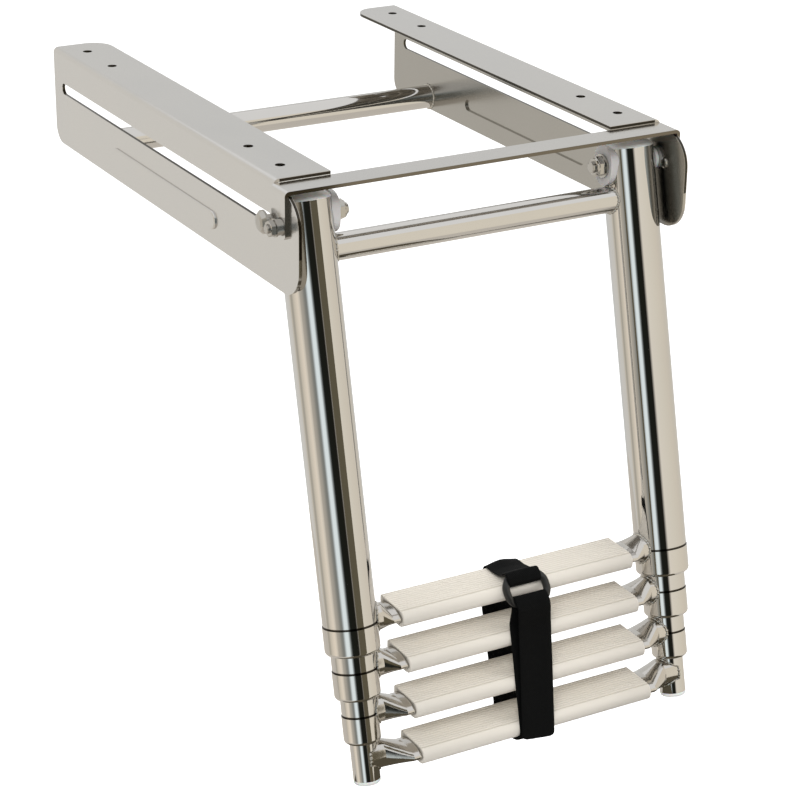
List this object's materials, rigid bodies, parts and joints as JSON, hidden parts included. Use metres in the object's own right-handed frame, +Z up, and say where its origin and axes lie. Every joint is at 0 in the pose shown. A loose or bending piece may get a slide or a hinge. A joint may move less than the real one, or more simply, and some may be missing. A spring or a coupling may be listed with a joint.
{
  "type": "sliding telescopic boarding ladder",
  "caption": "Stainless boarding ladder with telescopic treads, hung from a pair of slotted slide rails that bolt under a swim platform.",
  "frame": {"origin": "mounting plane of the two rails, midway between all their bolt holes", "axes": "+X to the right across the ladder, +Y along the rails towards their rear ends, +Z up"},
  "size_m": [0.331, 0.4917, 0.4185],
  "materials": {
    "stainless_plate": "satin, drawn along the rail",
    "polished_tube": "bright polished",
    "fasteners": "plain stainless",
    "tread_plastic": "ribbed along the tread",
    "cap_plastic": "smooth moulded",
    "bush_plastic": "smooth moulded",
    "strap_webbing": "woven webbing",
    "buckle_plastic": "smooth moulded"
  },
  "bodies": {
    "rails": {"rail_right": "stainless_plate", "rail_left": "stainless_plate", "rear_cross_tube": "polished_tube", "front_bar": "stainless_plate", "tab_bolts": "fasteners", "tab_spacers": "fasteners", "tab_washers": "fasteners", "tab_nuts": "fasteners"},
    "carriage": {"pivot_bolt_right": "fasteners", "pivot_bolt_left": "fasteners", "pivot_sleeves": "fasteners", "slide_washers": "bush_plastic", "pivot_washers": "fasteners", "pivot_nuts": "fasteners"},
    "ladder_upper": {"post_right": "polished_tube", "post_left": "polished_tube", "top_cap_right": "cap_plastic", "top_cap_left": "cap_plastic", "collar_1_right": "polished_tube", "collar_1_left": "polished_tube", "pivot_saddles": "fasteners", "ladder_cross_tube": "polished_tube", "rung_1": "polished_tube", "tread_1": "tread_plastic", "webbing_strap": "strap_webbing", "strap_buckle": "buckle_plastic"},
    "section_2": {"tube_2_right": "polished_tube", "tube_2_left": "polished_tube", "collar_2_right": "polished_tube", "collar_2_left": "polished_tube", "guide_bushes_2": "bush_plastic", "rung_2": "polished_tube", "tread_2": "tread_plastic"},
    "section_3": {"tube_3_right": "polished_tube", "tube_3_left": "polished_tube", "collar_3_right": "polished_tube", "collar_3_left": "polished_tube", "guide_bushes_3": "bush_plastic", "rung_3": "polished_tube", "tread_3": "tread_plastic"},
    "section_4": {"tube_4_right": "polished_tube", "tube_4_left": "polished_tube", "foot_cap_right": "cap_plastic", "foot_cap_left": "cap_plastic", "guide_bushes_4": "bush_plastic", "rung_4": "polished_tube", "tread_4": "tread_plastic"}
  },
  "joints": [
    {"name": "rail_slide", "type": "slide", "parent": "rails", "child": "carriage", "axis": [0, 1, 0], "range_m": [0, 0.3587]},
    {"name": "fold", "type": "hinge", "parent": "carriage", "child": "ladder_upper", "pos_m": [0, -0.1887, -0.029], "axis": [-1, 0, 0], "range_deg": [0, 76.6]},
    {"name": "extend_2", "type": "slide", "parent": "ladder_upper", "child": "section_2", "axis": [0, -0.2317, -0.9728], "range_m": [0, 0.24], "deforming": ["webbing_strap"]},
    {"name": "extend_3", "type": "slide", "parent": "section_2", "child": "section_3", "axis": [0, -0.2317, -0.9728], "range_m": [0, 0.24], "deforming": ["webbing_strap"]},
    {"name": "extend_4", "type": "slide", "parent": "section_3", "child": "section_4", "axis": [0, -0.2317, -0.9728], "range_m": [0, 0.24], "deforming": ["webbing_strap"]}
  ]
}
